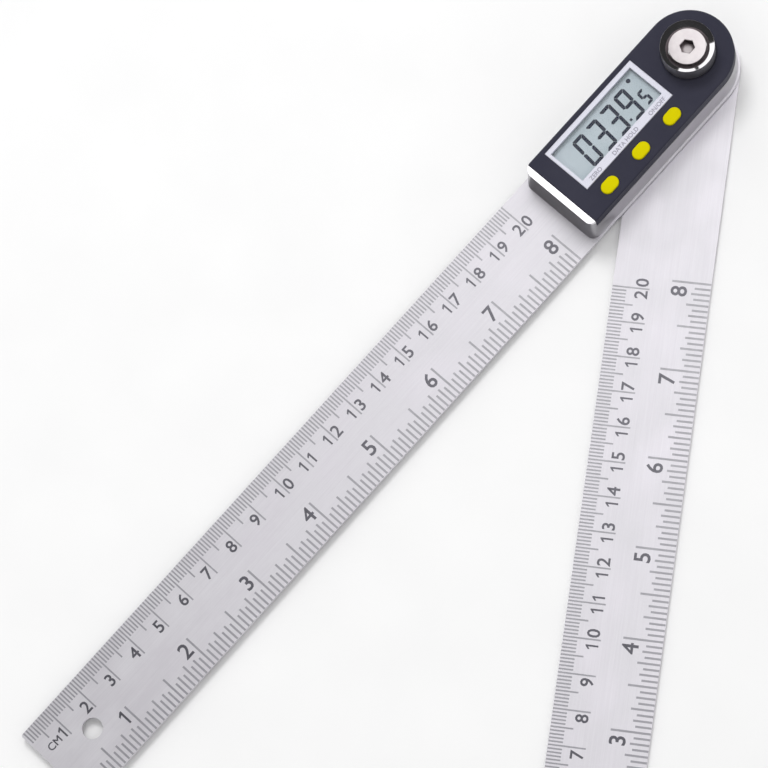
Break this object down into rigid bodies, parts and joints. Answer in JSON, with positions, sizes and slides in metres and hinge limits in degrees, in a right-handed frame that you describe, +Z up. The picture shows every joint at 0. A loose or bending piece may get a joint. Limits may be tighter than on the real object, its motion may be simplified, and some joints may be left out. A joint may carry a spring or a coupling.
{
  "type": "digital protractor",
  "caption": "Digital angle rule: two graduated steel rules hinged under a display head, with keys and a clamping knob, for reading and setting angles.",
  "frame": {"origin": "pivot axis at the underside of the lower rule, on the surface the tool rests on", "axes": "+X along the fixed upper rule from its zero end towards the pivot, +Z up through the display face"},
  "size_m": [0.2792, 0.1731, 0.0219],
  "materials": {
    "rule_steel": "stainless steel, fine brushed, etched scales",
    "case_chrome": "zinc die casting, polished and chrome plated",
    "cover_plastic": "charcoal ABS, moulded with a fine satin texture",
    "bezel_silver": "silver lacquered ABS frame",
    "window_acrylic": "clear acrylic",
    "display_glass": "reflective liquid crystal cell",
    "connector_rubber": "layered silicone connector",
    "board_laminate": "glass fibre board with solder mask",
    "chip_resin": "black resin",
    "link_film": "polyimide flexible link",
    "bush_brass": "turned brass",
    "washer_polymer": "low friction polymer",
    "turned_steel": "turned steel, passivated",
    "carrier_plastic": "moulded black polymer",
    "screw_steel": "nickel plated steel",
    "battery_steel": "nickel plated steel can",
    "contact_metal": "tinned phosphor bronze",
    "cap_plastic": "black ABS, moulded",
    "seal_rubber": "black rubber ring",
    "knob_chrome": "turned brass, polished and chrome plated",
    "satin_nickel": "satin nickel plated steel",
    "button_yellow": "yellow moulded plastic, satin",
    "switch_plastic": "black switch body"
  },
  "bodies": {
    "head": {"upper_rule": "rule_steel", "case_frame": "case_chrome", "front_cover": "cover_plastic", "lcd_bezel": "bezel_silver", "display_window": "window_acrylic", "lcd_panel": "display_glass", "zebra_strip_upper": "connector_rubber", "zebra_strip_lower": "connector_rubber", "main_board": "board_laminate", "stator_board": "board_laminate", "controller_chip": "chip_resin", "encoder_link": "link_film", "pivot_bush": "bush_brass", "slip_washer": "washer_polymer", "thrust_washer": "washer_polymer", "pivot_sleeve": "turned_steel", "battery_holder": "carrier_plastic", "rule_screws": "screw_steel", "board_screws": "screw_steel", "battery": "battery_steel", "battery_spring": "contact_metal", "battery_clip": "contact_metal", "zero_switch": "switch_plastic", "hold_switch": "switch_plastic", "on_off_switch": "switch_plastic"},
    "lower_rule": {"lower_rule": "rule_steel", "pivot_hub": "turned_steel", "rotor_carrier": "carrier_plastic", "rotor_board": "board_laminate", "rotor_clip": "turned_steel"},
    "clamp_washer": {"clamp_washer": "turned_steel"},
    "lock_knob": {"lock_knob": "knob_chrome", "knob_screw": "satin_nickel"},
    "battery_cover": {"battery_cover": "cap_plastic", "battery_seal": "seal_rubber"},
    "zero_button": {"zero_button": "button_yellow"},
    "hold_button": {"hold_button": "button_yellow"},
    "on_off_button": {"on_off_button": "button_yellow"}
  },
  "joints": [
    {"name": "rule_pivot", "type": "hinge", "parent": "head", "child": "lower_rule", "pos_m": [0, 0, 0.0012], "axis": [0, 0, 1], "continuous": true},
    {"name": "knob_lift", "type": "slide", "parent": "lower_rule", "child": "clamp_washer", "axis": [0, 0, 1], "range_m": [0, 0.0005]},
    {"name": "knob_turn", "type": "hinge", "parent": "clamp_washer", "child": "lock_knob", "pos_m": [0, 0, 0.018], "axis": [0, 0, 1], "range_deg": [0, 180]},
    {"name": "battery_cover_turn", "type": "hinge", "parent": "head", "child": "battery_cover", "pos_m": [-0.033, 0, 0.002], "axis": [0, 0, 1], "range_deg": [0, 50]},
    {"name": "zero_press", "type": "slide", "parent": "head", "child": "zero_button", "axis": [0, 0, -1], "range_m": [0, 0.00055], "stiffness_N_per_m": 1500},
    {"name": "hold_press", "type": "slide", "parent": "head", "child": "hold_button", "axis": [0, 0, -1], "range_m": [0, 0.00055], "stiffness_N_per_m": 1500},
    {"name": "on_off_press", "type": "slide", "parent": "head", "child": "on_off_button", "axis": [0, 0, -1], "range_m": [0, 0.00055], "stiffness_N_per_m": 1500}
  ],
  "couplings": [
    {"joint": "knob_turn", "follows": "knob_lift", "rad_per_m": 6283.2}
  ]
}
